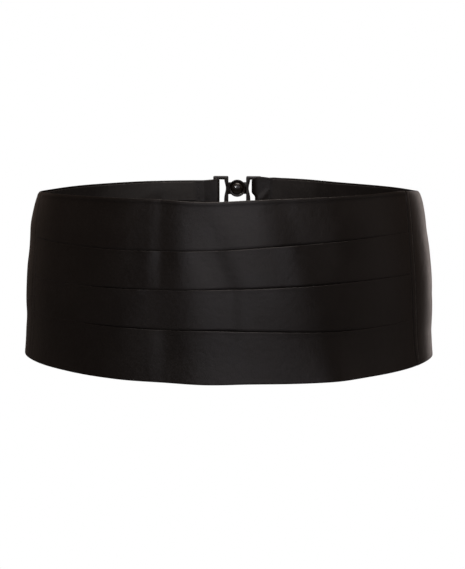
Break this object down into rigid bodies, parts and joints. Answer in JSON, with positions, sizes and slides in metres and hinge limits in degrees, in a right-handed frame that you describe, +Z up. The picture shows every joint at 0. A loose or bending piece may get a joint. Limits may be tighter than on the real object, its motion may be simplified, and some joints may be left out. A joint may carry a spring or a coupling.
{
  "type": "cummerbund",
  "caption": "Black satin cummerbund with horizontal pleats on the front, plain tapering side panels and a narrow back strap closed by a round stud clasp.",
  "frame": {"origin": "middle of the waist hollow at half the front's height", "axes": "+Z up along the wearer's waist, -Y out of the pleated front, +X to the right as the front is seen, so the clasp is at +Y"},
  "size_m": [0.2932, 0.2107, 0.1232],
  "materials": {
    "satin": "black satin with a soft broad sheen along its fine warp",
    "lining_satin": "black lining satin, a little lighter than the outside",
    "clasp_plastic": "moulded black plastic, polished on the stud"
  },
  "bodies": {
    "root": {"pleat_1_top": "satin", "pleat_2": "satin", "pleat_3": "satin", "pleat_4_bottom": "satin", "side_panel_left": "satin", "side_panel_right": "satin", "lining": "lining_satin", "strap_left": "satin", "strap_right": "satin", "clasp_socket": "clasp_plastic", "clasp_stud": "clasp_plastic"}
  },
  "joints": []
}
